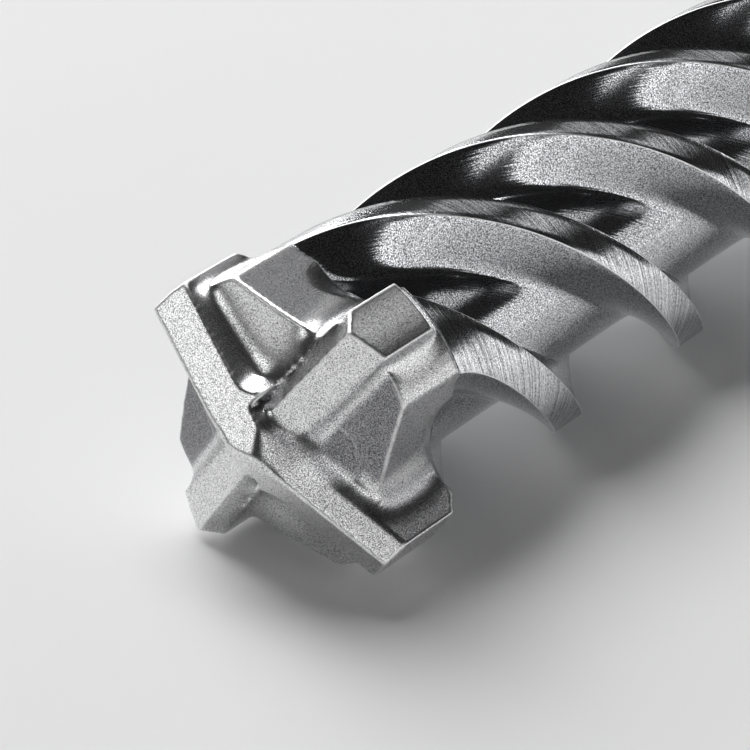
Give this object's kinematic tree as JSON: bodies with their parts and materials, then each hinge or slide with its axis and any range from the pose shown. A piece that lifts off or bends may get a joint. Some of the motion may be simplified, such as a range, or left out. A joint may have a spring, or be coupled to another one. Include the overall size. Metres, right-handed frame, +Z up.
{
  "type": "hammer drill bit",
  "caption": "Rotary hammer drill bit with a solid carbide cross head, a deep helix and a slotted round shank.",
  "frame": {"origin": "on the floor below the middle of the bit's length, where the lands of the helix rest", "axes": "+Y along the bit's axis from the tip to the end of the shank, +Z up, +X to the right of a viewer who looks from the tip along the bit"},
  "size_m": [0.0144, 0.21, 0.0145],
  "materials": {
    "carbide": "ground and fine blasted",
    "steel": "blasted flutes with ground lands"
  },
  "bodies": {
    "root": {"head": "carbide", "body": "steel"}
  },
  "joints": []
}
